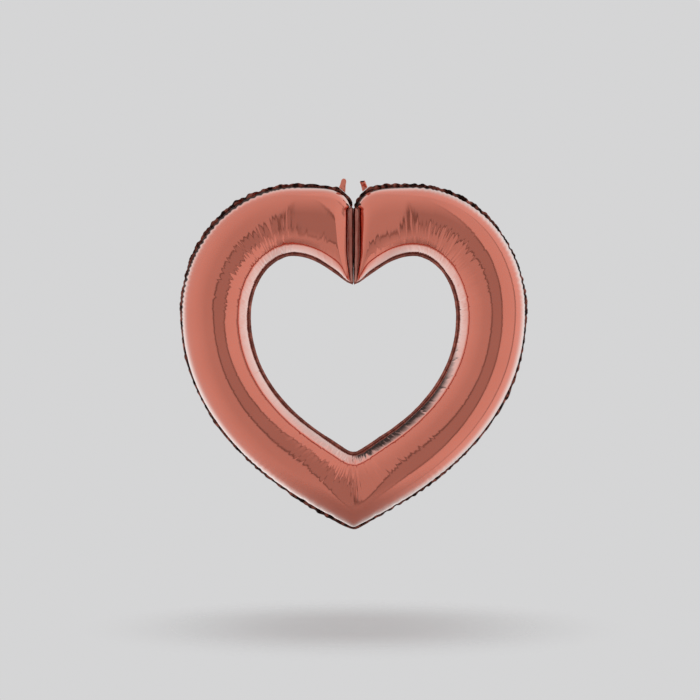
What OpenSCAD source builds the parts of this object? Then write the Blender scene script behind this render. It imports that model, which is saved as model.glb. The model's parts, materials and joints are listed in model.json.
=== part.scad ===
// Open heart balloon: a tube of metallised film bent into a heart, with its two closed ends at the notch.
// The front faces -Y, +Z is up and +X is right. The origin is the top of the notch, where the heart hangs.

/* [Film] */
// Flat width of the empty blank over its borders, the size a balloon is sold by
blank_w = 1040; // [900:10:1200]
// Flat width of the tube between its two weld lines
tube_flat_w = 280; // [240:2:310]
// Width of the welded border
border_w = 8; // [6:0.5:12]
// Solid thickness that stands for one film
film_t = 0.4; // [0.3:0.05:0.6]

/* [Heart] */
// Height of the weld line on top of the lobes above the notch
lobe_rise = 54; // [44:1:66]
// Depth of the weld line's bottom tip below the notch
tip_drop = 864; // [800:2:930]
// Depth of the heart's widest line below the notch
waist_drop = 282; // [260:2:310]
// Distance from the centre to the middle of a lobe
lobe_x = 150; // [130:2:170]
// Angle between a flank and the centre line at the bottom tip
tip_angle = 64; // [58:1:70]
// Extra width of the tube over the lobes
lobe_swell = 11; // [4:1:18]

/* [Notch] */
// Height of the closed tube ends
end_h = 206; // [190:2:222]
// Width of the weld that closes a tube end
end_border_w = 10; // [7:0.5:13]
// Length over which a tube end swells to its full depth
end_len = 50; // [40:1:64]
// Space from the centre plane to each end weld
end_gap = 0.4; // [0.3:0.05:0.8]

/* [Tab and neck] */
// Lean of the tab and the neck towards the notch
lean = 12; // [6:1:18]
// Width of the hanging tab
tab_w = 12; // [9:0.5:15]
// Length of the hanging tab
tab_len = 30; // [24:1:38]
// Inner radius of the filling neck at its mouth
neck_r = 4.8; // [4:0.1:6]
// Length of the neck's round mouth
mouth_len = 13; // [10:1:18]
// Length of the neck's flattened root
root_len = 11; // [9:1:14]

/* [Valve] */
// Width of a valve ply
valve_w = 10; // [8:0.5:11]
// Length of a valve ply inside the lobe
valve_len = 76; // [60:1:90]
// Thickness that stands for one valve ply
ply_t = 0.3; // [0.25:0.05:0.4]

/* [Scallops] */
// Pitch of the puckers along the outer border
pucker_pitch = 34; // [26:1:48]
// Share of the border's width that a pucker draws in
pucker_dip = 0.3; // [0.1:0.05:0.4]

/* [Hidden] */
$fn = 48;
foil = [0.80, 0.47, 0.40];
foil_edge = [0.45, 0.22, 0.17];
valve_film = [0.86, 0.88, 0.90];
weld_t = 2 * film_t;
clear = 0.3;
fold_gap = 0.75 * weld_t;

// A sealed tube of flat width w fills to a diameter of 2 w / pi, and the heart narrows with it.
tube_d = 2 * tube_flat_w / PI;
heart_w = blank_w - tube_flat_w + tube_d;
side_x = heart_w / 2 - border_w;
end_x = end_gap + end_border_w;
end_top = -0.75 * border_w;
window_x = side_x - tube_d;
window_lobe_x = 1.1 * lobe_x;
window_top = lobe_rise - tube_d - lobe_swell;
window_waist = 1.075 * waist_drop;
window_tip = tip_drop - 1.07 * tube_d;

// Weld lines of the right half: notch to lobe, lobe, lobe to tip.
outer_shoulder = [
    [end_x, end_top],
    [end_x + 0.08 * lobe_x, end_top + 1.11 * lobe_rise],
    [0.53 * lobe_x, lobe_rise],
    [lobe_x, lobe_rise]
];
inner_shoulder = [
    [end_x, end_top - end_h],
    [end_x + 0.17 * end_h, end_top - 0.845 * end_h],
    [0.6 * window_lobe_x, window_top],
    [window_lobe_x, window_top]
];
outer_flank = flank(side_x, waist_drop, tip_drop, 0.4, 0.63);
inner_flank = flank(window_x, window_waist, window_tip, 0.4, 0.55);

// Stations run from the right tube end at 0, round the tip at 3, to the left tube end at 6.
fold_u = 2.954;
neck_u = [0.235, 0.345];
shoulder_us = [0, 0.006, 0.03, 0.08, 0.14, 0.19, neck_u[0], neck_u[1], 0.45, 0.58, 0.72, 0.86];
right_us = concat(shoulder_us, [for (i = [0:8]) 1 + i / 9], [for (i = [0:10]) 2 + (fold_u - 2) * i / 10]);
bottom_us = [for (i = [0:4]) fold_u + (6 - 2 * fold_u) * i / 4];
left_us = [for (i = [len(right_us) - 1:-1:0]) 6 - right_us[i]];
arc_steps = 11;

// The neck and the tab stand on straight fold lines along the outer border.
fold_mid = (border_edge(neck_u[0]) + border_edge(neck_u[1])) / 2;
fold_line = border_edge(neck_u[1]) - border_edge(neck_u[0]);
fold_slope = atan2(fold_line[1], fold_line[0]);
fold_w = norm(fold_line);
root_w = fold_w - 2;

// Along the axis of the neck, which is tilted against its fold line: depth of the weld and ends of the plies.
tilt = fold_slope - lean;
weld_run = (fold_mid - (outer(neck_u[0]) + outer(neck_u[1])) / 2) * [-sin(fold_slope), cos(fold_slope)];
weld_depth = weld_run / cos(tilt);
ply_skew = valve_w / 2 * tan(tilt);
flap_root = weld_depth + ply_skew + 1;

// Where the flanks pivot when the notch is opened: the fold's two end sections cross here.
pivot_z = cross_z(inner(fold_u), outer(fold_u));
fold_angle = atan2(outer(fold_u)[0] - inner(fold_u)[0], inner(fold_u)[1] - outer(fold_u)[1]);
echo(tube_d = tube_d, heart_w = heart_w, pivot_z = pivot_z, opens_to = 2 * fold_angle);
echo(fold_mid = fold_mid, fold_slope = fold_slope, fold_w = fold_w, flap_root = flap_root);
echo(mouth_mid = fold_mid + (root_len + 0.3 + (mouth_len - 0.3) / 2) * [-sin(lean), cos(lean)]);

function bezier(p, t) =
    pow(1 - t, 3) * p[0] + 3 * pow(1 - t, 2) * t * p[1] + 3 * (1 - t) * t * t * p[2] + pow(t, 3) * p[3];
function flank(x, z0, z1, fall, run) = [
    [x, -z0],
    [x, -z0 - fall * (z1 - z0)],
    [run * (z1 - z0) * sin(tip_angle), -z1 + run * (z1 - z0) * cos(tip_angle)],
    [0, -z1]
];
function flip(p) = [-p[0], p[1]];
function lerp(a, b, f) = a + f * (b - a);
function cross_z(a, b) = a[1] + a[0] * (a[1] - b[1]) / (b[0] - a[0]);

// Outer and inner weld line at station u, as [x, z].
function outer(u) =
    u > 3 ? flip(outer(6 - u)) :
    u < 1 ? bezier(outer_shoulder, u) :
    u < 2 ? [
        lobe_x + (side_x - lobe_x) * sin(90 * (u - 1)),
        -waist_drop + (waist_drop + lobe_rise) * cos(90 * (u - 1))
    ] :
    bezier(outer_flank, u - 2);
function inner(u) =
    u > 3 ? flip(inner(6 - u)) :
    u < 1 ? bezier(inner_shoulder, u) :
    u < 2 ? [
        window_lobe_x + (window_x - window_lobe_x) * sin(90 * (u - 1)),
        -window_waist + (window_waist + window_top) * cos(90 * (u - 1))
    ] :
    bezier(inner_flank, fan(u - 2));
// The sections fan out about the window's lower corner.
function fan(t) = t + 0.85 * t * t * (1 - t);
function outward(u) = (outer(u) - inner(u)) / norm(outer(u) - inner(u));
function border_edge(u) = outer(u) + border_w * outward(u);

// Half width and half depth of the tube. Its girth is the same all along, and its closed ends are blunt.
function from_end(u) = abs(outer(u)[0] + inner(u)[0]) / 2 - end_x;
function blunt(t) = sqrt(sqrt(1 - pow(1 - min(1, max(0, t)), 4)));
function end_swell(u, inset) = u > 1 && u < 5 ? 1 : blunt((from_end(u) - inset) / (end_len - inset));
function half_width(u) = norm(outer(u) - inner(u)) / 2;
function half_depth(u) = tube_d - half_width(u);

// One film's section from the inner weld line to the outer one, moved in by a given depth.
function section(u, inset) = let (
    mid = (outer(u) + inner(u)) / 2,
    half = half_width(u) - inset,
    deep = max((half_depth(u) - inset) * end_swell(u, inset), film_t + clear - inset)
) [for (k = [0:arc_steps]) let (
    a = 180 * k / arc_steps,
    p = mid - half * cos(a) * outward(u)
) [p[0], -deep * sin(a), p[1]]];

function reversed(list) = [for (i = [len(list) - 1:-1:0]) list[i]];
function film_ring(u) = concat(section(u, 0), reversed(section(u, film_t)));
function strip_ring(a, b) = [
    [a[0], -weld_t / 2, a[1]],
    [b[0], -weld_t / 2, b[1]],
    [b[0], weld_t / 2, b[1]],
    [a[0], weld_t / 2, a[1]]
];

// The outer border's rings: each stretch between two stations holds a whole number of puckers.
function pucker_rings(us) = concat(
    [for (i = [0:len(us) - 2]) let (
        a = outer(us[i]),
        b = outer(us[i + 1]),
        count = max(1, round(norm(b - a) / pucker_pitch)),
        steps = norm(b - a) > pucker_pitch / 2 ? 4 * count : 1
    ) for (j = [0:steps - 1]) let (
        f = j / steps,
        dip = steps > 1 ? pucker_dip * (1 - cos(360 * count * f)) / 2 : 0,
        p = lerp(a, b, f)
    ) strip_ring(p, p + border_w * (1 - dip) * lerp(outward(us[i]), outward(us[i + 1]), f))],
    [let (u = us[len(us) - 1]) strip_ring(outer(u), border_edge(u))]
);
function smooth_rings(us) = [for (u = us) strip_ring(inner(u) - border_w * outward(u), inner(u))];

// Closed solid through rings that each hold two matching rows of points.
module skin(rings) {
    n = len(rings);
    m = len(rings[0]);
    // The second row's faces are split the other way, so that both rows bend along the same lines.
    sides = [for (i = [0:n - 2], k = [0:m - 1]) let (
        a = i * m + k,
        b = i * m + (k + 1) % m
    ) each k < m / 2 ? [[a, b, b + m], [a, b + m, a + m]] : [[a, b, a + m], [b, b + m, a + m]]];
    last = (n - 1) * m;
    ends = [for (k = [0:m / 2 - 2]) let (
        a = k,
        b = k + 1,
        c = m - 2 - k,
        d = m - 1 - k
    ) each [[a, c, b], [a, d, c], [last + a, last + b, last + c], [last + a, last + c, last + d]]];
    polyhedron([for (ring = rings) each ring], concat(sides, ends), convexity = 6);
}

module front_film(us) {
    skin([for (u = us) film_ring(u)]);
}

module back_film(us) {
    mirror([0, 1, 0]) front_film(us);
}

// Places a shape on the fold line of the neck: X along the line, Z away from the heart.
module on_fold() {
    translate([fold_mid[0], 0, fold_mid[1]]) rotate([0, -fold_slope, 0]) children();
}

// Places a shape on the neck's own axis.
module on_neck() {
    translate([fold_mid[0], 0, fold_mid[1]]) rotate([0, -lean, 0]) children();
}

// Slot through which the valve enters between the two films.
module valve_slot() {
    on_neck() translate([-valve_w / 2 - clear, -ply_t - 0.15, -flap_root - 4])
        cube([valve_w + 2 * clear, 2 * ply_t + 0.3, flap_root + 4]);
}

module front_film_left() {
    color(foil) front_film(left_us);
}

module front_film_bottom() {
    color(foil) front_film(bottom_us);
}

module front_film_right() {
    color(foil) difference() {
        front_film(right_us);
        valve_slot();
    }
}

module back_film_left() {
    color(foil) back_film(left_us);
}

module back_film_bottom() {
    color(foil) back_film(bottom_us);
}

module back_film_right() {
    color(foil) difference() {
        back_film(right_us);
        valve_slot();
    }
}

module outer_border_left() {
    color(foil_edge) skin(pucker_rings(left_us));
}

module outer_border_bottom() {
    color(foil_edge) skin(pucker_rings(bottom_us));
}

// The right border parts where the filling neck comes through.
module outer_border_right() {
    color(foil_edge) {
        skin(pucker_rings([for (u = right_us) if (u <= neck_u[0]) u]));
        skin(pucker_rings([for (u = right_us) if (u >= neck_u[1]) u]));
    }
}

module inner_border_left() {
    color(foil_edge) skin(smooth_rings(left_us));
}

module inner_border_bottom() {
    color(foil_edge) skin(smooth_rings(bottom_us));
}

module inner_border_right() {
    color(foil_edge) skin(smooth_rings(right_us));
}

module end_border() {
    rotate([90, 0, 0]) linear_extrude(weld_t, center = true) polygon([
        [end_gap, end_top - end_h],
        [end_x, end_top - end_h - border_w],
        [end_x, end_top + border_w],
        [end_gap, end_top]
    ]);
}

module end_border_right() {
    color(foil_edge) end_border();
}

module end_border_left() {
    color(foil_edge) mirror([1, 0, 0]) end_border();
}

module hanging_tab() {
    color(foil) mirror([1, 0, 0]) hull() {
        on_fold() translate([-tab_w / 2, -weld_t / 2, fold_gap]) cube([tab_w, weld_t, 1]);
        on_neck() translate([0, weld_t / 2, tab_len - tab_w / 2]) rotate([90, 0, 0])
            cylinder(weld_t, d = tab_w, $fn = 32);
    }
}

// Root of the neck: flat at its fold line, round where it meets the mouth.
module neck_root(r, flat_w, flat_t, floor_z, over) {
    hull() {
        on_fold() translate([-flat_w / 2, -flat_t / 2, floor_z]) cube([flat_w, flat_t, 0.5]);
        on_neck() translate([0, 0, root_len]) cylinder(over, r = r, $fn = 32);
    }
}

module filling_neck() {
    color(foil) difference() {
        union() {
            neck_root(neck_r + film_t - 0.1, root_w, weld_t + 0.4, fold_gap, 1);
            on_neck() translate([0, 0, root_len]) cylinder(mouth_len, r = neck_r + film_t);
        }
        neck_root(neck_r - 0.3, root_w - 2, 0.4, fold_gap - 0.2, 0.6);
        on_neck() translate([0, 0, root_len + 0.3]) cylinder(mouth_len, r = neck_r);
    }
}

module valve_front_ply() {
    color(valve_film) on_neck() translate([-valve_w / 2, -0.05 - ply_t, -weld_depth - valve_len])
        cube([valve_w, ply_t, weld_depth + valve_len - flap_root]);
}

module valve_back_ply() {
    color(valve_film) on_neck() translate([-valve_w / 2, 0.05, -weld_depth - valve_len])
        cube([valve_w, ply_t, weld_depth + valve_len - ply_skew]);
}

front_film_left();
front_film_bottom();
front_film_right();
back_film_left();
back_film_bottom();
back_film_right();
outer_border_left();
outer_border_bottom();
outer_border_right();
inner_border_left();
inner_border_bottom();
inner_border_right();
end_border_left();
end_border_right();
hanging_tab();
filling_neck();
valve_front_ply();
valve_back_ply();
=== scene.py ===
import json
import math

import bpy
import numpy as np
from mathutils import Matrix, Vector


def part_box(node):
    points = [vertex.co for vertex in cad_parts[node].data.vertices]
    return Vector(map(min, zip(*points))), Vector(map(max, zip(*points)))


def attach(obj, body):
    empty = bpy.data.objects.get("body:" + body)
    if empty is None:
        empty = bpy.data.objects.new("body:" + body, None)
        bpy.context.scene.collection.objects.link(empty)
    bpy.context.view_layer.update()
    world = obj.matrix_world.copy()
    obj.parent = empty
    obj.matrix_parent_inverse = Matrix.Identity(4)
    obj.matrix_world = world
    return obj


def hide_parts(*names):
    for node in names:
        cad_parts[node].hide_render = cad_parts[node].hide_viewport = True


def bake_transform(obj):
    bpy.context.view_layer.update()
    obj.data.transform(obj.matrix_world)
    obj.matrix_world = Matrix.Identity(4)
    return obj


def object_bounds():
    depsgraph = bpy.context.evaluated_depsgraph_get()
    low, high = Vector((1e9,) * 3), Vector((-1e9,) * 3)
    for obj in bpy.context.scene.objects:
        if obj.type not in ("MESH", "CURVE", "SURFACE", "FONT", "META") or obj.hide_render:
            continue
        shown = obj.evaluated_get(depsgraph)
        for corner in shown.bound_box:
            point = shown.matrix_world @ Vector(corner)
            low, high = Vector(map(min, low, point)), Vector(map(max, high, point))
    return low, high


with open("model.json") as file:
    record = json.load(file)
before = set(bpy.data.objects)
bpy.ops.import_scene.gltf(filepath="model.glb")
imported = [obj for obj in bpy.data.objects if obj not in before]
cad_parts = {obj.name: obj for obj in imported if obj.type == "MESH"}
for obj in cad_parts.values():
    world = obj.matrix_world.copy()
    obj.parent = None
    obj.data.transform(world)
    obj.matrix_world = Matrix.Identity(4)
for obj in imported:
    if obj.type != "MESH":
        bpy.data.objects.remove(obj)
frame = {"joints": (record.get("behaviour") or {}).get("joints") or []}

cad_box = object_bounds()

# Driving sizes of the heart, in millimetres, as in the construction.
MM = 0.001
BLANK_W = 1040
TUBE_FLAT_W = 280
BORDER_W = 8
LOBE_RISE = 54
TIP_DROP = 864
WAIST_DROP = 282
LOBE_X = 150
LOBE_SWELL = 11
TIP_ANGLE = math.radians(64)
END_H = 206
END_BORDER_W = 10
END_LEN = 50
END_GAP = 0.4
LEAN = math.radians(12)

# Sizes that follow from them.
TUBE_D = 2 * TUBE_FLAT_W / math.pi
SIDE_X = (BLANK_W - TUBE_FLAT_W + TUBE_D) / 2 - BORDER_W
END_X = END_GAP + END_BORDER_W
END_TOP = -0.75 * BORDER_W
WINDOW_X = SIDE_X - TUBE_D
WINDOW_LOBE_X = 1.1 * LOBE_X
WINDOW_TOP = LOBE_RISE - TUBE_D - LOBE_SWELL
WINDOW_WAIST = 1.075 * WAIST_DROP
WINDOW_TIP = TIP_DROP - 1.07 * TUBE_D

# The film is a grid of stations along the tube and columns round it. Column 0 is the inner weld,
# column FILM_COLS the outer one. The front film lies between them, the back film after them.
STATIONS = 640
FILM_COLS = 56
RING = 2 * FILM_COLS
FRONT_COLS = np.arange(FILM_COLS + 1)
BACK_COLS = (RING - FRONT_COLS) % RING
# How far round from the inner weld to the outer one each column lies, from 0 to 1.
SHARE = np.minimum(np.arange(RING), RING - np.arange(RING)) / FILM_COLS
# Half the width of the bottom stretch that bends when the notch opens.
FOLD_X = 150

# Filling: steps, push of the gas at each step, how tight the film is round the tube, spacing of the
# puckers along the outer weld and how much of the spare film they take.
SIM_STEPS = 220
PRESSURE = 0.016
HOOP_PULL = 0.97
PUCKER_PITCH = 34
PUCKER_SHARE = 0.09

# The bend at the tip: rows on each side of it that are rounded.
TIP_ROWS = 140
# The strip beside the window: how far round it reaches, and how flat it is.
STRIP_SHARE = 0.23
STRIP_FLAT = 0.8
# The foot of the film beside each end weld: its width, the depth at which it is fully out, and the
# distance from the weld and the rows from the end over which it fades.
FOOT = 4.5
FOOT_RISE = 2.5
FOOT_FADE = 40
FOOT_ROWS = 120
# How near to the middle the tube ends come at the window's upper corner, and how this fades.
END_PINCH = 2.2
PINCH_FADE = 70
PINCH_ROWS = 160

# Tilted facets: shortest and longest spacing where the tube bends most, height, and where they start
# and end between the inner weld at 0 and the outer one at 1.
CRINKLES = (
    (24, 60, 0.50, 0.10, 0.66),
    (8, 20, 0.30, 0.14, 0.56),
    (4, 10, 0.26, 0.02, 0.32),
)
# Single creases: count, then the ranges of width, height, middle and length across the film. The reach
# is how far along the tube each one is drawn, and the most that it slants.
RIDGES = (
    (380, (1.8, 2.8), (0.12, 0.42), (0.24, 0.46), (0.07, 0.24)),
    (320, (1.6, 2.6), (0.18, 0.60), (0.03, 0.18), (0.05, 0.14)),
    (60, (2.2, 3.6), (0.25, 0.60), (0.22, 0.40), (0.18, 0.32)),
)
RIDGE_REACH = 16

# Left end: the flat facet starts this far from the weld and ends at a fold, given by height and
# distance. It lies in the rows nearest to the end.
FACET_ROWS = 90
FACET_FROM = 5.0
FACET_FOLD = ((-212, 2), (-160, 22), (-110, 33), (-60, 37), (-15, 37), (0, 30), (20, 8))

# The welded borders: rows across them, and their thickness. The other pieces' thickness.
BORDER_ROWS = 6
BORDER_THICK = 0.3
TAB_THICK = 0.5
NECK_WALL = 0.35
VALVE_THICK = 0.12
# The valve films lie this far from the middle between the border's films, for this length from the top.
WELD_TUCK = 0.07
WELD_RUN = 9

# Photograph's framing: millimetres to a pixel at the heart, and the heart's origin in pixels.
FRAME_PX = 700
MM_PER_PX = 2.687
ORIGIN_PX = (353.5, 205)
CAMERA_M = 6.5


def bezier(points, t):
    p = np.array(points, float)
    t = t[:, None]
    return (1 - t) ** 3 * p[0] + 3 * (1 - t) ** 2 * t * p[1] + 3 * (1 - t) * t * t * p[2] + t**3 * p[3]


def flank(x, z0, z1, fall, run):
    """Control points from the heart's widest line down to the tip."""
    reach = run * (z1 - z0)
    return [
        (x, -z0),
        (x, -z0 - fall * (z1 - z0)),
        (reach * math.sin(TIP_ANGLE), -z1 + reach * math.cos(TIP_ANGLE)),
        (0, -z1),
    ]


def weld_line(u, shoulder, lobe, side, waist, top, lower, fan):
    """Points (x, z) of a weld line: u is 0 at the right tube end, 3 at the tip and 6 at the left end."""
    v = np.minimum(u, 6 - u)
    turn = np.clip(v - 1, 0, 1) * math.pi / 2
    arc = np.stack([lobe + (side - lobe) * np.sin(turn), -waist + (waist + top) * np.cos(turn)], -1)
    t = np.clip(v - 2, 0, 1)
    below = bezier(lower, t + fan * t * t * (1 - t))
    above = bezier(shoulder, np.clip(v, 0, 1))
    p = np.where((v < 1)[:, None], above, np.where((v < 2)[:, None], arc, below))
    p[:, 0] *= np.where(u > 3, -1, 1)
    return p


def outer_line(u):
    """The outer weld."""
    shoulder = [
        (END_X, END_TOP),
        (END_X + 0.08 * LOBE_X, END_TOP + 1.11 * LOBE_RISE),
        (0.53 * LOBE_X, LOBE_RISE),
        (LOBE_X, LOBE_RISE),
    ]
    lower = flank(SIDE_X, WAIST_DROP, TIP_DROP, 0.4, 0.63)
    return weld_line(u, shoulder, LOBE_X, SIDE_X, WAIST_DROP, LOBE_RISE, lower, 0)


def inner_line(u):
    """The weld round the window."""
    shoulder = [
        (END_X, END_TOP - END_H),
        (END_X + 0.17 * END_H, END_TOP - 0.845 * END_H),
        (0.6 * WINDOW_LOBE_X, WINDOW_TOP),
        (WINDOW_LOBE_X, WINDOW_TOP),
    ]
    lower = flank(WINDOW_X, WINDOW_WAIST, WINDOW_TIP, 0.4, 0.55)
    return weld_line(u, shoulder, WINDOW_LOBE_X, WINDOW_X, WINDOW_WAIST, WINDOW_TOP, lower, 0.85)


def ease(x):
    """Soft step from 0 to 1."""
    x = np.clip(x, 0, 1)
    return x * x * (3 - 2 * x)


def smooth(values, reach):
    """Running average along the first axis."""
    weights = np.hanning(2 * reach + 3)[1:-1]
    weights /= weights.sum()
    pad = [(reach, reach)] + [(0, 0)] * (values.ndim - 1)
    padded = np.pad(values, pad, mode="edge")
    return sum(w * padded[i : i + len(values)] for i, w in enumerate(weights))


def wander(rng, count, reach):
    """Smooth random values with a spread of about 1."""
    values = smooth(rng.standard_normal(count), reach)
    return values / values.std()


def steps(points):
    """Length travelled along the first axis."""
    run = np.linalg.norm(np.diff(points, axis=0), axis=-1)
    return np.concatenate([np.zeros_like(run[:1]), np.cumsum(run, axis=0)])


def unit(vectors):
    return vectors / np.maximum(np.linalg.norm(vectors, axis=-1, keepdims=True), 1e-9)


def half_depth(u):
    """The tube's girth is the same all along, and its closed ends are blunt."""
    outer, inner = outer_line(u), inner_line(u)
    from_end = np.abs(outer[:, 0] + inner[:, 0]) / 2 - END_X
    swell = np.where((u > 1) & (u < 5), 1, np.clip(from_end / END_LEN, 0, 1))
    return (TUBE_D - np.linalg.norm(outer - inner, axis=1) / 2) * (1 - (1 - swell) ** 4) ** 0.25


def plain_tube():
    """The filled tube before it puckers: elliptic sections between the two weld lines."""
    fine = np.linspace(0, 6, 12001)
    crest = np.column_stack([(outer_line(fine) + inner_line(fine)) / 2, half_depth(fine)])
    travel = 0.6 * steps(outer_line(fine)) + 0.4 * steps(crest)
    u = np.interp(np.linspace(0, travel[-1], STATIONS), travel, fine)
    outer, inner = outer_line(u), inner_line(u)
    mid = (outer + inner) / 2
    half = (outer - inner) / 2
    deep = half_depth(u)
    angle = math.pi * np.arange(RING) / FILM_COLS
    flat = mid[:, None] - np.cos(angle)[None, :, None] * half[:, None]
    return np.stack([flat[..., 0], -deep[:, None] * np.sin(angle), flat[..., 1]], -1)


def links(di, dk):
    """Pairs of grid points (i, k) and (i + di, k + dk), in two sets that hold no point twice."""
    i, k = np.meshgrid(np.arange(STATIONS - di), np.arange(RING), indexing="ij")
    first = i * RING + k
    second = (i + di) * RING + (k + dk) % RING
    turn = (i // di if di else k // dk) % 2
    return [(first[turn == t], second[turn == t], turn == t) for t in (0, 1)]


def pull(points, link, rest, stretch, squeeze):
    """Moves linked points towards their rest length."""
    for first, second, chosen in link:
        gap = points[second] - points[first]
        length = np.sqrt((gap * gap).sum(-1))
        share = 1 - rest[chosen] / np.maximum(length, 1e-4)
        share *= np.where(share > 0, np.float32(stretch / 2), np.float32(squeeze / 2))
        gap *= share[:, None]
        points[first] += gap
        points[second] -= gap


def from_ends(grid):
    """Rows between each row and the nearer tube end."""
    rows = np.arange(len(grid))
    return np.minimum(rows, rows[::-1])


def grid_normals(grid):
    """Outward normals of a tube grid."""
    along = np.gradient(grid, axis=0)
    around = np.roll(grid, -1, axis=1) - np.roll(grid, 1, axis=1)
    return unit(np.cross(along, around))


def inflate(rng):
    """Fills the sealed film: it can't stretch, so its spare length puckers along the outer weld."""
    plain = plain_tube()
    hoop = np.linalg.norm(np.diff(plain, axis=0), axis=-1)
    width = np.linalg.norm(plain[:, FILM_COLS] - plain[:, 0], axis=-1)
    width = (width[1:] + width[:-1]) / 2
    growth = (hoop[:, FILM_COLS] - hoop[:, 0]) / width
    flat = hoop[:, :1] + (growth * width)[:, None] * SHARE * math.pi / 2
    filled = hoop[:, :1] + (growth * width)[:, None] * (1 - np.cos(SHARE * math.pi)) / 2
    spare = smooth(np.clip(flat / filled - 1, 0, 0.45), 8)
    taken = PUCKER_SHARE * ease((SHARE - 0.7) / 0.28)
    rest_u = hoop * (1 + spare * taken)
    rest_v = HOOP_PULL * np.linalg.norm(np.roll(plain, -1, axis=1) - plain, axis=-1)
    longer = ((rest_u + np.roll(rest_u, -1, axis=1)) ** 2 - (hoop + np.roll(hoop, -1, axis=1)) ** 2) / 4
    ahead = np.roll(plain, -1, axis=1)
    rest_d = np.sqrt(((ahead[1:] - plain[:-1]) ** 2).sum(-1) + longer)
    rest_e = np.sqrt(((plain[1:] - ahead[:-1]) ** 2).sum(-1) + longer)
    rest_uu = rest_u[:-1] + rest_u[1:]
    rest_vv = HOOP_PULL * np.linalg.norm(np.roll(plain, -2, axis=1) - plain, axis=-1)
    # Links, rest lengths, how hard they pull back and push back, and how often in each step.
    rules = [
        (links(1, 0), rest_u, 1.0, 0.6, 2),
        (links(0, 1), rest_v, 1.0, 0.6, 2),
        (links(1, 1), rest_d, 0.5, 0.25, 2),
        (links(1, -1), np.roll(rest_e, 1, axis=1), 0.5, 0.25, 2),
        (links(2, 0), rest_uu, 0.15, 0.15, 1),
        (links(0, 2), rest_vv, 0.15, 0.15, 1),
    ]
    rules = [(link, rest.astype(np.float32), a, b, times) for link, rest, a, b, times in rules]

    # Uneven puckers, about PUCKER_PITCH apart, start off the folds along the outer weld.
    run = steps(plain[:, FILM_COLS])
    pitch = PUCKER_PITCH * np.exp(0.3 * wander(rng, STATIONS, 24))
    phase = 2 * math.pi * np.cumsum(np.gradient(run) / pitch)
    near = ease((SHARE - 0.7) / 0.3)[None, :, None]
    size = (0.6 + 0.4 * wander(rng, STATIONS, 16))[:, None, None]
    away = unit(plain[:, FILM_COLS] - plain[:, 0])[:, None]
    grid = plain + near * size * np.sin(phase)[:, None, None] * away
    grid[..., 1] += (near * size)[..., 0] * np.sin(phase / 2 + 2 * wander(rng, STATIONS, 10))[:, None]
    grid += 0.03 * rng.standard_normal(grid.shape)

    plain = plain.astype(np.float32)
    grid = grid.astype(np.float32)
    speed = np.zeros_like(grid)
    facing = (RING - np.arange(RING)) % RING
    for _ in range(SIM_STEPS):
        before = grid.copy()
        grid += np.float32(0.96) * speed + np.float32(PRESSURE) * grid_normals(grid).astype(np.float32)
        points = grid.reshape(-1, 3)
        for turn in range(2):
            for link, rest, stretch, squeeze, times in rules:
                if turn < times:
                    pull(points, link, rest, stretch, squeeze)
        for end in (0, -1):
            grid[end] = (grid[end] + grid[end, facing]) / 2
            grid[end, :, 1] *= 0.5
            grid[end, :, 0] = plain[end, :, 0]
        grid -= np.float32(0.02) * (grid.mean(1) - plain.mean(1))[:, None]
        speed = grid - before
    return grid.astype(float)


def refine(grid):
    """Doubles the stations with a smooth curve through the old ones."""
    padded = np.concatenate([2 * grid[:1] - grid[1:2], grid, 2 * grid[-1:] - grid[-2:-1]])
    a, b, c, d = padded[:-3], padded[1:-2], padded[2:-1], padded[3:]
    out = np.empty((2 * len(grid) - 1,) + grid.shape[1:])
    out[::2] = grid
    out[1::2] = (9 * (b + c) - a - d) / 16
    return out


def calm(grid):
    """Evens out the film along the tube, except near the outer weld and at the ends."""
    weight = np.outer(ease((from_ends(grid) - 30) / 20), ease((0.85 - SHARE) / 0.2))
    return grid + weight[..., None] * (smooth(grid, 9) - grid)


def round_tip(grid):
    """Rounds the bend at the tip: most along the crest, less at the window's corner, least outside."""
    tip, span = len(grid) // 2, TIP_ROWS
    rows = slice(tip - span, tip + span + 1)
    part = grid[rows]
    run = steps(part)
    reach = 17 - 12 * SHARE + 20 * np.exp(-(((SHARE - 0.45) / 0.2) ** 2))
    rounded = np.empty_like(part)
    for k in range(RING):
        weights = np.exp(-0.5 * ((run[:, k] - run[:, k, None]) / reach[k]) ** 2) * np.gradient(run[:, k])
        rounded[:, k] = weights @ part[:, k] / weights.sum(1, keepdims=True)
    keep = np.exp(-(((run - run[span]) / (3 * reach)) ** 2))[..., None]
    rounded += keep * (part[span] - rounded[span])
    fade = ease((span - np.abs(np.arange(-span, span + 1))) / 60)[:, None, None]
    grid[rows] = part + fade * (rounded - part)
    return grid


def flat_strip(grid):
    """Flattens the film beside the window, where it is pressed together along the weld."""
    last = round(STRIP_SHARE * FILM_COLS)
    weight = STRIP_FLAT * ease((from_ends(grid) - 12) / 30)[:, None, None]
    for columns in (FRONT_COLS[: last + 1], BACK_COLS[: last + 1]):
        part = grid[:, columns]
        run = np.swapaxes(steps(np.swapaxes(part, 0, 1)), 0, 1)
        share = (run / run[:, -1:])[..., None]
        chord = part[:, :1] + share * (part[:, -1:] - part[:, :1])
        grid[:, columns] = part + weight * (chord - part)
    return grid


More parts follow.
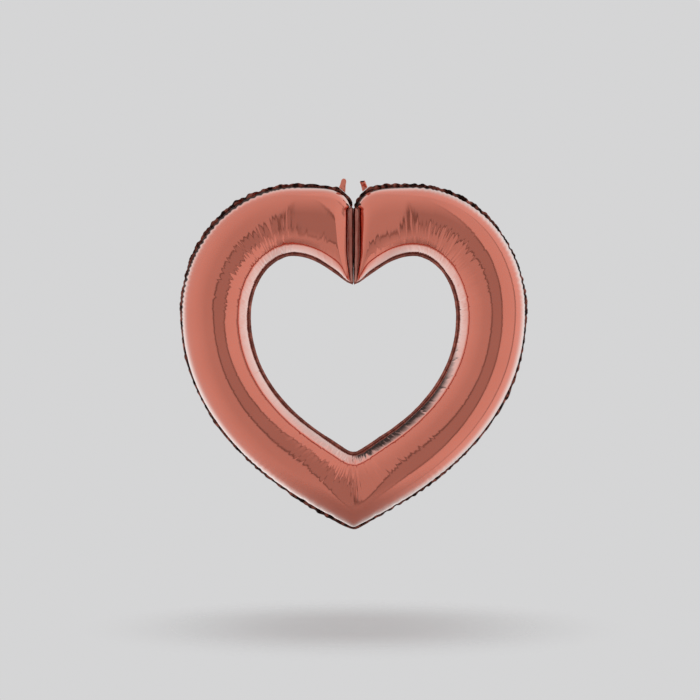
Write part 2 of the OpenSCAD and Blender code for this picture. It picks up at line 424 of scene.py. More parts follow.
def crinkle(grid, rng):
    """Creases across the tube break the film into tilted facets, finer ones beside the window."""
    normals = grid_normals(grid)
    run = steps(grid[:, FILM_COLS // 2])
    hoop = np.linalg.norm(np.gradient(grid, axis=0), axis=-1)
    bend = smooth(np.clip((hoop[:, FILM_COLS] / hoop[:, 0] - 1.25) / 1.1, 0, 1), 12)
    moved = np.zeros(grid.shape[:2])
    share = FRONT_COLS / FILM_COLS
    for columns in (FRONT_COLS, BACK_COLS):
        for short, long, size, low, high in CRINKLES:
            marks = [0.0]
            while marks[-1] < run[-1]:
                spare = 1 - np.interp(marks[-1], run, bend)
                marks.append(marks[-1] + rng.uniform(short, long) * (1 + 1.6 * spare))
            cell = np.searchsorted(marks, run)
            tilt = smooth(rng.standard_normal(len(marks) + 1)[cell], 1)
            lift = smooth(rng.standard_normal(len(marks) + 1)[cell], 1)
            f = np.clip((share - low) / (high - low), 0, 1)
            window = np.sin(math.pi * f) ** 1.5
            strength = size * (0.3 + 0.7 * bend)
            wave = np.outer(tilt, np.sin(2 * math.pi * f)) + 0.7 * np.outer(lift, np.ones_like(f))
            moved[:, columns] += strength[:, None] * wave * window
        odds = (0.3 + bend) / (0.3 + bend).sum()
        for count, wide, high, middle, length in RIDGES:
            for centre in rng.choice(len(grid), count, p=odds):
                size = rng.uniform(*high) * rng.choice([-1, 1], p=[0.35, 0.65])
                at, reach = rng.uniform(*middle), rng.uniform(*length)
                slant = rng.uniform(-RIDGE_REACH, RIDGE_REACH)
                near = np.abs(run - run[centre]) < RIDGE_REACH
                offset = (run[near] - run[centre])[:, None] - slant * (share - at)
                fade = ease(1 - np.abs(share - at) / reach)
                ridge = np.exp(-((offset / rng.uniform(*wide)) ** 2))
                moved[np.ix_(near, columns)] += size * ridge * fade
    return grid + moved[..., None] * normals


def facet(grid):
    """Flattens the front of the left tube end, from its weld to a fold that ends at the window."""
    fold_z, fold_far = zip(*FACET_FOLD)
    rows = np.arange(len(grid) - 1, len(grid) - FACET_ROWS, -1)
    for column in range(2, FILM_COLS - 1):
        line = grid[rows, column]
        away = -line[:, 0] - END_X
        far = np.interp(line[np.argmax(away > 20), 2], fold_z, fold_far)
        if far < FACET_FROM + 4:
            continue
        start, stop = np.interp([FACET_FROM, far], away, line[:, 1])
        flat = start + (stop - start) * (away - FACET_FROM) / (far - FACET_FROM)
        weight = ease((away - FACET_FROM) / 4) * ease((far + 1.5 - away) / 3)
        grid[rows, column, 1] += weight * (flat - line[:, 1])
    return grid


def end_foot(grid):
    """The two films lie together for a few millimetres beside each end weld before they part."""
    away = np.abs(grid[..., 0]) - END_X
    top = np.maximum(grid[..., 2] - END_TOP, END_TOP - END_H - grid[..., 2])
    near = ease((FOOT_FADE - away) / FOOT_FADE) * ease(np.abs(grid[..., 1]) / FOOT_RISE)
    near *= ease(-top / 12)
    near[from_ends(grid) > FOOT_ROWS] = 0
    grid[..., 0] += np.sign(grid[..., 0]) * FOOT * near
    grid[[1, -2], :, 1] *= 0.12
    grid[[2, -3], :, 1] *= 0.14
    return grid


def draw_in(grid):
    """Brings the two tube ends together towards the window's upper corner."""
    away = np.abs(grid[..., 0]) - END_X
    near = ease((END_TOP - 0.55 * END_H - grid[..., 2]) / (0.45 * END_H))
    near *= ease((PINCH_FADE - away) / PINCH_FADE)
    near[from_ends(grid) > PINCH_ROWS] = 0
    grid[..., 0] -= np.sign(grid[..., 0]) * (END_X - END_PINCH) * near
    return grid


def film_grid():
    """The filled film in the photograph's state, as points in millimetres."""
    rng = np.random.default_rng(11)
    grid = calm(refine(inflate(rng)))
    return crinkle(draw_in(end_foot(facet(flat_strip(round_tip(grid))))), rng)


def uv_grid(along, across):
    return np.stack(np.meshgrid(along, across, indexing="ij"), -1).reshape(-1, 2)


def make_object(name, points, faces, finish, normals=None, uvs=None):
    """A smooth mesh object in metres from points in millimetres."""
    mesh = bpy.data.meshes.new(name)
    mesh.from_pydata((np.asarray(points) * MM).tolist(), [], np.asarray(faces).tolist())
    mesh.update()
    mesh.shade_smooth()
    if uvs is not None:
        layer = mesh.uv_layers.new(name="film")
        corners = np.array([loop.vertex_index for loop in mesh.loops])
        layer.data.foreach_set("uv", np.asarray(uvs, np.float32)[corners].ravel())
    if normals is not None:
        mesh.normals_split_custom_set_from_vertices(np.asarray(normals).tolist())
    mesh.materials.append(finish)
    obj = bpy.data.objects.new(name, mesh)
    bpy.context.scene.collection.objects.link(obj)
    return obj


def sheet_faces(rows, cols, flip=False):
    """Quads of a grid of rows and columns."""
    ids = np.arange(rows * cols).reshape(rows, cols)
    quads = np.stack([ids[:-1, :-1], ids[:-1, 1:], ids[1:, 1:], ids[1:, :-1]], -1).reshape(-1, 4)
    return quads[:, ::-1] if flip else quads


def strip_object(name, rows, thick, finish):
    """A thin closed strip over a grid of points, with its thickness along the grid's normals."""
    rows = np.asarray(rows)
    n, m, _ = rows.shape
    normals = unit(np.cross(np.gradient(rows, axis=0), np.gradient(rows, axis=1)))
    top, bottom = rows + normals * thick / 2, rows - normals * thick / 2
    ids = np.arange(n * m).reshape(n, m)
    faces = [sheet_faces(n, m), sheet_faces(n, m, flip=True) + n * m]
    rim = np.concatenate([ids[:-1, 0], ids[-1, :-1], ids[:0:-1, -1], ids[0, :0:-1]])
    under = rim + n * m
    faces.append(np.stack([rim, np.roll(rim, -1), np.roll(under, -1), under], -1))
    uv = uv_grid(steps(rows[:, m // 2]) * MM, np.arange(m) / (m - 1))
    points = np.concatenate([top.reshape(-1, 3), bottom.reshape(-1, 3)])
    return make_object(name, points, np.concatenate(faces), finish, uvs=np.concatenate([uv, uv]))


# Materials.
def material(name):
    made = bpy.data.materials.new(name)
    made.use_nodes = True
    nodes = made.node_tree.nodes
    return made, nodes, made.node_tree.links, nodes["Principled BSDF"]


def noise(nodes, node_links, vector, scale, detail=3.0, stretch=(1, 1, 1)):
    """Noise texture in a stretched space."""
    mapping = nodes.new("ShaderNodeMapping")
    mapping.inputs["Scale"].default_value = stretch
    node_links.new(vector, mapping.inputs["Vector"])
    texture = nodes.new("ShaderNodeTexNoise")
    texture.inputs["Scale"].default_value = scale
    texture.inputs["Detail"].default_value = detail
    node_links.new(mapping.outputs["Vector"], texture.inputs["Vector"])
    return texture.outputs["Fac"]


def remap(nodes, node_links, value, given, wanted=(0, 1), soft=False):
    """Maps one range of values to another."""
    node = nodes.new("ShaderNodeMapRange")
    node.interpolation_type = "SMOOTHSTEP" if soft else "LINEAR"
    for socket, bound in zip(("From Min", "From Max", "To Min", "To Max"), (*given, *wanted)):
        node.inputs[socket].default_value = bound
    node_links.new(value, node.inputs["Value"])
    return node.outputs["Result"]


def spread(nodes, node_links, value, low, high):
    """Maps the middle of a noise to a range."""
    return remap(nodes, node_links, value, (0.3, 0.7), (low, high))


def tint(nodes, node_links, value, dark, light):
    """Colour between two shades, each a colour or another node's output."""
    node = nodes.new("ShaderNodeMix")
    node.data_type = "RGBA"
    node_links.new(value, node.inputs["Factor"])
    for socket, shade in ((node.inputs[6], dark), (node.inputs[7], light)):
        if isinstance(shade, tuple):
            socket.default_value = (*shade, 1)
        else:
            node_links.new(shade, socket)
    return node.outputs[2]


def bump(nodes, node_links, height, distance, strength, below=None):
    node = nodes.new("ShaderNodeBump")
    node.inputs["Distance"].default_value = distance
    node.inputs["Strength"].default_value = strength
    node_links.new(height, node.inputs["Height"])
    if below is not None:
        node_links.new(below, node.inputs["Normal"])
    return node.outputs["Normal"]


def foil_material():
    """Rose-gold metallised film, paled towards white at grazing angles as a painted sheen, with fine
    crinkles across the tube.
    """
    made, nodes, node_links, shader = material("rose_gold_foil")
    place = nodes.new("ShaderNodeTexCoord").outputs
    shader.inputs["Metallic"].default_value = 1
    shader.inputs["Coat Weight"].default_value = 1
    shader.inputs["Coat IOR"].default_value = 1.6
    shader.inputs["Coat Roughness"].default_value = 0.05
    clouds = noise(nodes, node_links, place["Object"], 9)
    rose = tint(nodes, node_links, clouds, (0.55, 0.127, 0.074), (0.60, 0.149, 0.091))
    # Painted sheen: the base colour turns whitish at grazing angles, where the highlights fall.
    facing = nodes.new("ShaderNodeLayerWeight").outputs["Facing"]
    edge = remap(nodes, node_links, facing, (0.46, 0.68), (0, 0.64))
    shade = tint(nodes, node_links, edge, rose, (0.64, 0.47, 0.415))
    node_links.new(shade, shader.inputs["Base Color"])
    smears = noise(nodes, node_links, place["Object"], 22, 5)
    node_links.new(spread(nodes, node_links, smears, 0.07, 0.14), shader.inputs["Roughness"])
    lines = noise(nodes, node_links, place["UV"], 30, 4, (5, 1, 1))
    waves = noise(nodes, node_links, place["Object"], 16, 2)
    soft = bump(nodes, node_links, waves, 0.0012, 0.35)
    node_links.new(bump(nodes, node_links, lines, 0.0003, 0.35, soft), shader.inputs["Normal"])
    return made


def border_material(name, dark, light, rough, coat=0.4):
    """The same film welded in two layers, with the fine ribs of the welding bar."""
    made, nodes, node_links, shader = material(name)
    place = nodes.new("ShaderNodeTexCoord").outputs
    shader.inputs["Metallic"].default_value = 1
    shader.inputs["Coat Weight"].default_value = coat
    shader.inputs["Coat Roughness"].default_value = 0.1
    clouds = noise(nodes, node_links, place["Object"], 60)
    flecks = spread(nodes, node_links, clouds, -0.7, 1.2)
    node_links.new(tint(nodes, node_links, flecks, dark, light), shader.inputs["Base Color"])
    node_links.new(spread(nodes, node_links, clouds, *rough), shader.inputs["Roughness"])
    ribs = nodes.new("ShaderNodeTexWave")
    ribs.inputs["Scale"].default_value = 260
    ribs.inputs["Distortion"].default_value = 0.6
    node_links.new(place["UV"], ribs.inputs["Vector"])
    dents = noise(nodes, node_links, place["Object"], 180, 3)
    fine = bump(nodes, node_links, ribs.outputs["Fac"], 0.0001, 0.35)
    node_links.new(bump(nodes, node_links, dents, 0.0008, 0.5, fine), shader.inputs["Normal"])
    return made


def valve_material():
    """Thin clear film with a faint haze."""
    made, nodes, node_links, shader = material("clear_valve_film")
    place = nodes.new("ShaderNodeTexCoord").outputs
    shader.inputs["Transmission Weight"].default_value = 0.85
    shader.inputs["IOR"].default_value = 1.5
    haze = noise(nodes, node_links, place["Object"], 120)
    shade = tint(nodes, node_links, haze, (0.80, 0.83, 0.86), (0.90, 0.92, 0.94))
    node_links.new(shade, shader.inputs["Base Color"])
    node_links.new(spread(nodes, node_links, haze, 0.12, 0.3), shader.inputs["Roughness"])
    node_links.new(bump(nodes, node_links, haze, 0.0005, 0.3), shader.inputs["Normal"])
    return made


FOIL = foil_material()
# Outer border, window's border, and the end welds with their foot. The outer border's near-black film is
# painted shade.
PAINTED_SHADE_BORDER = border_material(
    "welded_foil_border_painted_shade", (0.012, 0.004, 0.003), (0.24, 0.07, 0.05), (0.14, 0.26), coat=0.05
)
RIM = border_material("welded_foil_rim", (0.17, 0.046, 0.032), (0.34, 0.10, 0.07), (0.16, 0.3))
# Paler film for the end welds and the foot beside them: painted light that lifts the shade in the
# crevice between the two ends.
PAINTED_LIGHT_SEAM = border_material("welded_foil_seam_painted_light", (0.52, 0.22, 0.175), (0.62, 0.28, 0.225), (0.28, 0.4))
VALVE = valve_material()


# Tab and neck, on the fold lines that their joints give.
JOINTS = {joint["name"]: joint for joint in frame["joints"]}
TAB_W = 16
TAB_LEN = 31
NECK_LEN = 25
NECK_W = 13
NECK_D = 9
NECK_NOD = math.radians(32)
ROOT_W = 14.5


def fold_frame(joint, lean):
    """Root point in millimetres, and the directions along a fold line and along the piece on it."""
    root = np.array(JOINTS[joint]["pos_m"]) / MM
    axis = np.array(JOINTS[joint]["axis"])
    along = np.array([math.sin(lean), 0, math.cos(lean)])
    return root, axis, along


# Pieces.
GRID = film_grid()
NORMALS = grid_normals(GRID)
LENGTH = steps((GRID[:, 0] + GRID[:, FILM_COLS]) / 2)


def parts():
    """Station ranges of the right arm, the bottom and the left arm. Neighbours share a station."""
    wide = np.abs(GRID[..., 0]).min(axis=1) > FOLD_X
    tip = len(GRID) // 2
    first = np.max(np.where(wide[:tip])[0])
    last = tip + np.min(np.where(wide[tip:])[0])
    return {"right": (0, first), "bottom": (first, last), "left": (last, len(GRID) - 1)}


PARTS = parts()


def carry(obj, part, *nodes):
    """Hangs a piece on its arm; a bottom piece instead has its placement baked into its points."""
    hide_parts(*nodes)
    if part == "bottom":
        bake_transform(obj)
    else:
        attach(obj, part + "_arm")
    return obj


def film_piece(side, part):
    """The front or back film of one part."""
    start, stop = PARTS[part]
    columns = FRONT_COLS if side == "front" else BACK_COLS
    points = GRID[start : stop + 1][:, columns]
    normals = NORMALS[start : stop + 1][:, columns]
    rows, cols, _ = points.shape
    across = steps(np.swapaxes(points, 0, 1))[:, rows // 2] * MM
    obj = make_object(
        f"{side}_foil_{part}",
        points.reshape(-1, 3),
        sheet_faces(rows, cols, flip=side == "front"),
        FOIL,
        normals.reshape(-1, 3),
        uv_grid(LENGTH[start : stop + 1] * MM, across),
    )
    if part != "bottom":
        # The row of faces beside the end weld is its foot, in the paler seam film, which is painted
        # light.
        obj.data.materials.append(PAINTED_LIGHT_SEAM)
        foot = 0 if part == "right" else rows - 2
        for face in obj.data.polygons[foot * (cols - 1) : (foot + 1) * (cols - 1)]:
            face.material_index = 1
    return carry(obj, part, f"{side}_film_{part}")


def border_rows(weld, out, tilts, widths):
    """Rows of a border that leaves the weld line, tilting more towards its cut edge."""
    share = np.linspace(0, 1, BORDER_ROWS)
    rows = [weld]
    for a, b in zip(share[:-1], share[1:]):
        angle = tilts * ((a + b) / 2) ** 0.5
        way = out * np.cos(angle)[:, None] + np.array([0, 1, 0]) * np.sin(angle)[:, None]
        rows.append(rows[-1] + way * (widths * (b - a))[:, None])
    return np.stack(rows, 1)


def outer_border():
    """The outer border: uneven scallops, tilting to and fro at the top and backwards lower down."""
    rng = np.random.default_rng(5)
    count = len(GRID)
    run = steps(GRID[:, FILM_COLS])
    pitch = PUCKER_PITCH * np.exp(0.3 * wander(rng, count, 48))
    phase = 2 * math.pi * np.cumsum(np.gradient(run) / pitch)
    ripple = np.sin(phase + 0.6 * np.sin(phase))
    weld = GRID[:, FILM_COLS]
    top = ease((weld[:, 2] + 170 - 0.15 * weld[:, 0]) / 180)
    tilts = (0.25 + 0.25 * top) * ripple * (1 + 0.4 * wander(rng, count, 20))
    tilts += 0.15 * wander(rng, count, 60) + 0.95 * (1 - top)
    tilts = np.clip(tilts, -1.2, 1.2)
    widths = 7.0 + 0.9 * top
    widths *= 1.1 - (0.15 + 0.27 * top) * (1 - np.abs(np.sin(phase / 2)) ** 0.6)
    widths *= 1 + 0.14 * wander(rng, count, 30) + 0.03 * wander(rng, count, 6)
    way = smooth(np.gradient(weld, axis=0), 20) * (1, 0, 1)
    out = unit(np.stack([-way[:, 2], 0 * run, way[:, 0]], -1))
    # It lies flat where the tab and the neck stand on it, and reaches up to their fold lines.
    flat = np.zeros(count)
    for joint, side in (("tab_fold", -1), ("neck_fold", 1)):
        root, axis, _ = fold_frame(joint, 0)
        up = np.array([-axis[2], 0, axis[0]])
        on_side = (weld[:, 0] * side > 0) & (weld[:, 2] > 0)
        near = np.exp(-((((weld - root) @ axis) / 17) ** 4)) * on_side
        reach = np.where(on_side, ((root - weld) @ up) / np.where(on_side, out @ up, 1), 0) - 0.2
        widths = widths + near * (reach - widths)
        flat = np.maximum(flat, near)
    rows = border_rows(weld, out, tilts * (1 - flat), widths)
    side = np.where(np.arange(count) < count / 2, 1, -1)[:, None]
    at_end = (np.abs(weld[:, :1]) < 40) & (weld[:, 2:] > END_TOP - 20)
    rows[..., 0] = np.where(at_end, side * np.maximum(rows[..., 0] * side, 1.2), rows[..., 0])
    return rows


def inner_border():
    """The window's border: smooth, leaning back."""
    rng = np.random.default_rng(6)
    count = len(GRID)
    tilts = 0.45 + 0.12 * wander(rng, count, 30) + 0.05 * wander(rng, count, 8)
    out = unit(GRID[:, 0] - GRID[:, FILM_COLS])
    return border_rows(GRID[:, 0], out, tilts, BORDER_W * (0.95 + 0.02 * wander(rng, count, 20)))


def end_border(side):
    """The weld that closes a tube end. Its free edge curls back beside the other end's."""
    sign = 1 if side == "right" else -1
    edge = 0.45 if side == "right" else -0.35
    curl = 8.0 if side == "right" else 10.5
    ring = GRID[0 if side == "right" else -1]
    line = (ring[FRONT_COLS] + ring[BACK_COLS]) / 2
    rng = np.random.default_rng(7 if sign > 0 else 8)
    count = len(line)
    wavy = 0.35 * wander(rng, count, 4)
    middle = (line[0, 2] + line[-1, 2]) / 2
    pinch = np.abs(line[:, 0]) / END_X
    rows = []
    lean_in = [(END_X, 0), (8.5, 0.9), (6.5, 1.4), (4.5, 1.6), (3.3, 2.4), (2.7, 4.5), (2.0, 6.5)]
    for x, back in lean_in + [(edge, curl)]:
        reach = 1 + 2 * BORDER_W / END_H * (x / END_X) * 0.9
        z = middle + (line[:, 2] - middle) * reach
        beside = sign * (x * pinch + 0.3 * (1 - pinch))
        behind = back * (0.4 + 0.6 * pinch) + wavy * pinch * (1 - x / END_X)
        rows.append(np.stack([beside, behind, z], -1))
    # The strip is in the paler seam film, painted light in the crevice.
    obj = strip_object(f"end_rim_{side}", np.stack(rows, 1), BORDER_THICK, PAINTED_LIGHT_SEAM)
    # The curl beside the middle and the top edge take the near-black border film: painted shade in the
    # gap between the two ends.
    obj.data.materials.append(PAINTED_SHADE_BORDER)
    for face in obj.data.polygons:
        face.material_index = int(abs(face.center.x) < 3.2 * MM or face.center.z > (END_TOP - 3) * MM)
    return carry(obj, side, f"end_border_{side}")


films = {(s, p): film_piece(s, p) for s in ("front", "back") for p in PARTS}
rims = {}
# The outer rims take the near-black border film, which is painted shade.
for name, grid, finish in (("outer", outer_border(), PAINTED_SHADE_BORDER), ("inner", inner_border(), RIM)):
    for part, (start, stop) in PARTS.items():
        strip = grid[start : stop + 1]
        rim = strip_object(f"{name}_rim_{part}", strip, BORDER_THICK, finish)
        rims[name, part] = carry(rim, part, f"{name}_border_{part}")
ends = {side: end_border(side) for side in ("left", "right")}


def hanging_tab():
    """Flat tab of two welded films, drawn in above its root, round at the top and slightly curled."""
    root, axis, along = fold_frame("tab_fold", LEAN)
    across = np.array([math.cos(LEAN), 0, -math.sin(LEAN)])
    rng = np.random.default_rng(9)
    rows, cols = 26, 11
    t = np.linspace(0, 1, rows)
    half = TAB_W / 2 * (0.85 + 0.65 * np.exp(-t / 0.22))
    half *= np.sqrt(np.clip(1 - np.clip((t - 0.76) / 0.242, 0, 1) ** 2, 0.02, 1))
    curl = 1.2 * np.sin(2.6 * t) * t
    crease_y = 0.5 * wander(rng, rows, 3)
    points = np.empty((rows, cols, 3))
    for j, s in enumerate(np.linspace(-1, 1, cols)):
        rising = np.clip(t / 0.25, 0, 1)[:, None]
        direction = unit(axis * (1 - rising) + across * rising)
        points[:, j] = root + along * (0.5 + TAB_LEN * t)[:, None] + direction * (half * s)[:, None]
        points[:, j, 1] += curl - 0.18 * s * half * ease(4 * t) + crease_y * np.cos(2.5 * s) * t
        points[:, j, 1] += 0.8 * np.abs(s) ** 1.5 * np.sin(3 * t)
    obj = strip_object("hanging_loop_tab", points, TAB_THICK, FOIL)
    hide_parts("hanging_tab")
    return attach(obj, "hanging_tab")


def filling_neck():
    """Open neck: two films welded along their sides, flat at the root and blown round at the mouth."""
    root, axis, along = fold_frame("neck_fold", -LEAN)
    across = np.array([math.cos(LEAN), 0, math.sin(LEAN)])
    rng = np.random.default_rng(10)
    rows, cols = 28, 48
    t = np.linspace(0, 1, rows)
    a = 2 * math.pi * np.arange(cols) / cols
    fin = np.exp(-((np.abs(np.cos(a)) - 1) / 0.012) ** 2)
    wrinkle = np.stack([wander(rng, rows, 2) for _ in range(cols)], 1)
    wrinkle = smooth(np.concatenate([wrinkle, wrinkle], 1).T, 2).T[:, :cols]
    # It nods to the front, so that its mouth is seen.
    nod = NECK_NOD * ease(t)
    sway = math.radians(14) * ease(t)
    heading = np.outer(np.cos(sway), along) - np.outer(np.sin(sway), across)
    heading = heading * np.cos(nod)[:, None] - np.outer(np.sin(nod), (0, 1, 0))
    depth_way = np.outer(np.cos(nod), (0, 1, 0)) + np.outer(np.sin(nod), along)
    centre = root + 0.5 * along + np.cumsum(heading, axis=0) * NECK_LEN / rows
    rings = []
    for wall in (0.0, NECK_WALL):
        wide = ROOT_W / 2 + (NECK_W - ROOT_W) / 2 * ease(t / 0.55) - wall
        deep = 0.75 + (NECK_D / 2 - 0.75) * ease((t - 0.02) / 0.75) - wall
        ring = np.empty((rows, cols, 3))
        for i in range(rows):
            rising = min(1, t[i] / 0.35)
            direction = unit(axis * (1 - rising) + across * rising)
            side = np.cos(a) * (wide[i] + (1.0 * fin if wall == 0 else 0))
            rim = 0.5 * np.sin(3 * a + 1) * t[i] ** 3
            bulge = np.sin(a) * deep[i] + 0.18 * wrinkle[i] * t[i]
            ring[i] = centre[i] + np.outer(side, direction) + np.outer(bulge, depth_way[i])
            ring[i] += np.outer(rim, heading[i])
        rings.append(ring)
    shell = np.concatenate([rings[0], rings[1][::-1]])
    count = len(shell)
    ids = np.arange(count * cols).reshape(count, cols)
    nxt = np.roll(ids, -1, axis=1)
    quads = np.stack([ids[:-1], nxt[:-1], nxt[1:], ids[1:]], -1).reshape(-1, 4)
    base = np.stack([ids[-1], nxt[-1], nxt[0], ids[0]], -1)
    uv = uv_grid(np.arange(count) * MM, a * NECK_W / 2 * MM)
    faces = np.concatenate([quads, base])
    obj = make_object("filling_neck_foil", shell.reshape(-1, 3), faces, FOIL, uvs=uv)
    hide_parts("filling_neck")
    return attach(obj, "filling_neck")


def valve_ply(node, body, bow):
    """One ply of the valve, lying where the construction puts it, with a slight wave."""
    low, high = (np.array(corner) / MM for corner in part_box(node))
    along = np.array([-math.sin(LEAN), 0, math.cos(LEAN)])
    across = np.array([math.cos(LEAN), 0, math.sin(LEAN)])
    span = high - low
    length = (span[2] - span[0] * math.tan(LEAN)) / (math.cos(LEAN) - math.sin(LEAN) * math.tan(LEAN))
    width = (span[0] - length * math.sin(LEAN)) / math.cos(LEAN)
    middle = (low + high) / 2
    rows, cols = 40, 7
    points = np.empty((rows, cols, 3))
    t = np.linspace(-0.5, 0.5, rows)
    for j, s in enumerate(np.linspace(-0.5, 0.5, cols)):
        points[:, j] = middle + np.outer(t * length, along) + across * s * width
        points[:, j, 1] += bow * (0.08 * np.cos(9 * t) + 0.1 * np.cos(3 * s))
    # Where it passes the weld, it lies between the border's two films.
    free = ease(((0.5 - t) * length - WELD_RUN) / 6)[:, None]
    points[..., 1] = WELD_TUCK * bow + free * (points[..., 1] - WELD_TUCK * bow)
    obj = strip_object(node.replace("ply", "film"), points, VALVE_THICK, VALVE)
    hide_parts(node)
    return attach(obj, body)


tab = hanging_tab()
neck = filling_neck()
valve_front = valve_ply("valve_front_ply", "valve_flap", -1)
valve_back = valve_ply("valve_back_ply", "right_arm", 1)


for (side, part), film in films.items():
    trims = [rims["outer", part], rims["inner", part]] if side == "front" else []
    if side == "front" and part != "bottom":
        trims.append(ends[part])


# Stage: a pale floor that fades into a pale room. Metres under the heart, radius, and where it fades.
FLOOR_DROP = 0.26
FLOOR_R = 5
FLOOR_FADE = (0.1, 0.75)
BACKGROUND = (0.665, 0.665, 0.67)


def floor():
    """A disc that takes the heart's shadow and fades into the background."""
    level = cad_box[0].z - FLOOR_DROP
    rings, spokes = 24, 96
    radius = FLOOR_R * np.linspace(0, 1, rings + 1)[1:] ** 1.5
    angle = 2 * math.pi * np.arange(spokes) / spokes
    points = [(0, 0, level)]
    points += [(r * math.cos(a), r * math.sin(a), level) for r in radius for a in angle]
    faces = [(0, 1 + i, 1 + (i + 1) % spokes) for i in range(spokes)]
    for r in range(rings - 1):
        base = 1 + r * spokes
        faces += [
            (base + i, base + spokes + i, base + spokes + (i + 1) % spokes, base + (i + 1) % spokes)
            for i in range(spokes)
        ]
    mesh = bpy.data.meshes.new("floor")
    mesh.from_pydata(points, [], faces)
    made, nodes, node_links, shader = material("pale_floor")
    place = nodes.new("ShaderNodeTexCoord").outputs
    grain = noise(nodes, node_links, place["Object"], 300, 2)
    shade = tint(nodes, node_links, grain, (0.60, 0.60, 0.605), (0.62, 0.62, 0.625))
    node_links.new(shade, shader.inputs["Base Color"])
    shader.inputs["Roughness"].default_value = 0.9
    shader.inputs["Specular IOR Level"].default_value = 0.0
    clear = nodes.new("ShaderNodeBsdfTransparent")
    distance = nodes.new("ShaderNodeVectorMath")
    distance.operation = "LENGTH"
    flat = nodes.new("ShaderNodeMapping")
    flat.inputs["Scale"].default_value = (1, 1, 0)
    node_links.new(place["Object"], flat.inputs["Vector"])
    node_links.new(flat.outputs["Vector"], distance.inputs[0])
    fade = remap(nodes, node_links, distance.outputs["Value"], FLOOR_FADE, soft=True)
    mix = nodes.new("ShaderNodeMixShader")
    node_links.new(fade, mix.inputs[0])
    node_links.new(shader.outputs[0], mix.inputs[1])
    node_links.new(clear.outputs[0], mix.inputs[2])
    node_links.new(mix.outputs[0], nodes["Material Output"].inputs["Surface"])
    mesh.materials.append(made)
    obj = bpy.data.objects.new("floor", mesh)
    bpy.context.scene.collection.objects.link(obj)


# Studio light by compass angle from the camera's side, right positive: (degrees, brightness).
# A dark screen stands beside the camera, white ones behind the heart on both sides.
ROOM = [
    (-180, 1.1), (-132, 1.1), (-124, 0.97), (-75, 0.97), (-48, 0.88), (-30, 0.79), (-5, 0.77),
    (-4, 0.25), (-1.5, 0.25), (0.5, 0.58), (30.5, 0.58), (32, 0.3), (35, 0.3), (36.5, 1.0),
    (82, 1.02), (84, 0.45), (86.5, 0.45), (89, 1.15), (142, 1.1), (152, 0.85), (168, 0.85), (180, 1.1),
]
# The same above the dark screen, and on the floor in front of it.
ROOF = [
    (-180, 1.0), (-132, 1.0), (-124, 0.93), (70, 0.93), (92, 1.05), (142, 1.05), (152, 1.0), (180, 1.0),
]
GROUND = [(-180, 0.95), (-120, 0.85), (-25, 0.75), (15, 0.95), (60, 1.05), (180, 1.05)]
# Degrees of elevation between which one gives way to the next.
GROUND_EDGE = (-80, -28)
ROOF_EDGE = (24, 74)
# A black flag hangs behind the heart, high on the left: direction, soft edge in degrees, and light.
FLAG = (-0.24, 0.90, 0.36)
FLAG_EDGE = (29, 17)
FLAG_LIGHT = 0.05


def ramp(nodes, node_links, bearing, stops):
    """Brightness by compass angle."""
    node = nodes.new("ShaderNodeValToRGB")
    elements = node.color_ramp.elements
    for _ in range(len(stops) - 2):
        elements.new(0.5)
    for element, (degrees, value) in zip(elements, stops):
        element.position = (degrees + 180) / 360
        element.color = (value, value, value, 1)
    node_links.new(bearing, node.inputs[0])
    return node.outputs[0]


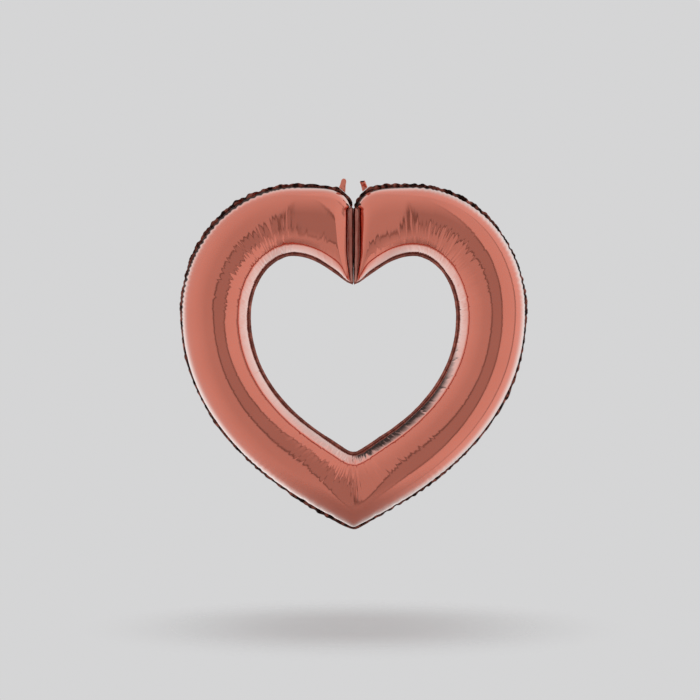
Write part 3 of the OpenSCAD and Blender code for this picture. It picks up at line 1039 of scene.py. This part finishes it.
def studio():
    """The room that lights the heart. The camera sees a plain background instead."""
    world = bpy.data.worlds.new("studio")
    bpy.context.scene.world = world
    world.use_nodes = True
    nodes, node_links = world.node_tree.nodes, world.node_tree.links
    nodes.clear()

    def math_node(operation, a, b=None):
        node = nodes.new("ShaderNodeMath")
        node.operation = operation
        for socket, value in zip(node.inputs, (a, b)):
            if value is None:
                continue
            if isinstance(value, (int, float)):
                socket.default_value = value
            else:
                node_links.new(value, socket)
        return node.outputs[0]

    direction = nodes.new("ShaderNodeTexCoord").outputs["Generated"]
    split = nodes.new("ShaderNodeSeparateXYZ")
    node_links.new(direction, split.inputs[0])
    x, y, z = split.outputs
    turn = math_node("ARCTAN2", x, math_node("MULTIPLY", y, -1))
    bearing = math_node("ADD", math_node("DIVIDE", turn, 2 * math.pi), 0.5)
    height = math_node("ARCSINE", z)
    light = ramp(nodes, node_links, bearing, GROUND)
    for edge, stops in ((GROUND_EDGE, ROOM), (ROOF_EDGE, ROOF)):
        share = remap(nodes, node_links, height, [math.radians(degrees) for degrees in edge])
        light = tint(nodes, node_links, share, light, ramp(nodes, node_links, bearing, stops))
    toward = nodes.new("ShaderNodeVectorMath")
    toward.operation = "DOT_PRODUCT"
    node_links.new(direction, toward.inputs[0])
    toward.inputs[1].default_value = unit(np.array(FLAG))
    edge = [math.cos(math.radians(degrees)) for degrees in FLAG_EDGE]
    flag = remap(nodes, node_links, toward.outputs["Value"], edge, (1, FLAG_LIGHT), soft=True)
    room = nodes.new("ShaderNodeBackground")
    node_links.new(light, room.inputs["Color"])
    node_links.new(flag, room.inputs["Strength"])
    plain = nodes.new("ShaderNodeBackground")
    plain.inputs["Color"].default_value = (*BACKGROUND, 1)
    choose = nodes.new("ShaderNodeMixShader")
    node_links.new(nodes.new("ShaderNodeLightPath").outputs["Is Camera Ray"], choose.inputs[0])
    node_links.new(room.outputs[0], choose.inputs[1])
    node_links.new(plain.outputs[0], choose.inputs[2])
    out = nodes.new("ShaderNodeOutputWorld")
    node_links.new(choose.outputs[0], out.inputs["Surface"])


def camera():
    """Faces the heart squarely, framed as in the photograph."""
    data = bpy.data.cameras.new("camera")
    data.sensor_width = 36
    frame_m = FRAME_PX * MM_PER_PX * MM
    data.lens = data.sensor_width * CAMERA_M / frame_m
    obj = bpy.data.objects.new("camera", data)
    bpy.context.scene.collection.objects.link(obj)
    aim_x = (FRAME_PX / 2 - ORIGIN_PX[0]) * MM_PER_PX * MM
    aim_z = (ORIGIN_PX[1] - FRAME_PX / 2) * MM_PER_PX * MM
    obj.location = (aim_x, -CAMERA_M, aim_z)
    obj.rotation_euler = (math.pi / 2, 0, 0)
    bpy.context.scene.camera = obj


floor()
studio()
camera()
bpy.context.scene.view_settings.view_transform = "Standard"
